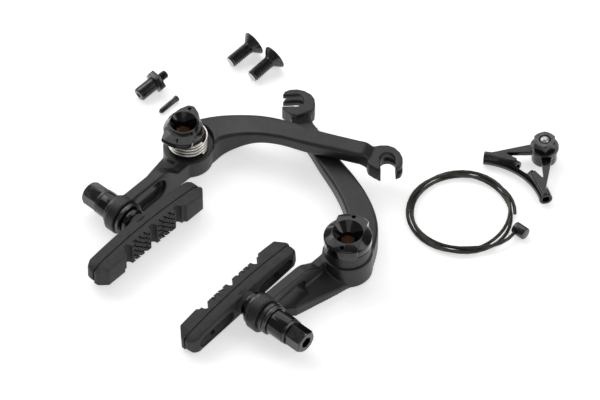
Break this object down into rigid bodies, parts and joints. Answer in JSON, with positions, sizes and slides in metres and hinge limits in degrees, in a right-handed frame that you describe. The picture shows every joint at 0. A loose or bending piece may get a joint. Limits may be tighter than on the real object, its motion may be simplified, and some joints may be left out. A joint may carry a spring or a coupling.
{
  "type": "u brake",
  "caption": "Centre-pull U brake laid out flat: crossed forged arms with pads, springs and caps, plus mounting screws, cable hanger and straddle wire.",
  "frame": {"origin": "midway between the two pivot axes, in the plane that the pivot bosses rest on", "axes": "+X from the left pivot to the right one, +Y towards the cable hooks, +Z along the pivots towards the caps"},
  "size_m": [0.1929, 0.2031, 0.0265],
  "materials": {
    "arm_finish": "satin",
    "bronze": "satin",
    "spring_steel": "satin",
    "cap_finish": "gloss",
    "pad_rubber": "matte",
    "black_steel": "satin",
    "dark_steel": "satin",
    "wire_black": "satin"
  },
  "bodies": {
    "laid_out": {"cap_left": "cap_finish", "cap_right": "cap_finish", "mount_screw_1": "black_steel", "mount_screw_2": "black_steel", "anchor_stud": "black_steel", "cable_end_cap": "black_steel", "hanger_yoke": "dark_steel", "hanger_bolt": "dark_steel", "hanger_washer": "black_steel", "hanger_nut": "dark_steel", "straddle_cable": "wire_black", "cable_barrel": "black_steel"},
    "left_arm": {"arm_left": "arm_finish", "bushing_left": "bronze", "spring_left": "spring_steel", "pad_left": "pad_rubber", "stud_left": "dark_steel", "inner_ball_left": "black_steel", "inner_cup_left": "dark_steel", "outer_cup_left": "dark_steel", "spacer_left": "black_steel", "washer_left": "dark_steel", "nut_left": "black_steel"},
    "right_arm": {"arm_right": "arm_finish", "bushing_right": "bronze", "spring_right": "spring_steel", "pad_right": "pad_rubber", "stud_right": "dark_steel", "inner_ball_right": "black_steel", "inner_cup_right": "dark_steel", "outer_cup_right": "dark_steel", "spacer_right": "black_steel", "shim_right": "dark_steel", "washer_right": "dark_steel", "nut_right": "black_steel"}
  },
  "joints": [
    {"name": "left_pivot", "type": "hinge", "parent": "laid_out", "child": "left_arm", "pos_m": [-0.04925, 0, 0], "axis": [0, 0, 1], "range_deg": [0, 8], "stiffness_Nm_per_rad": 0.3},
    {"name": "right_pivot", "type": "hinge", "parent": "laid_out", "child": "right_arm", "pos_m": [0.04925, 0, 0], "axis": [0, 0, -1], "range_deg": [0, 8], "stiffness_Nm_per_rad": 0.3}
  ]
}
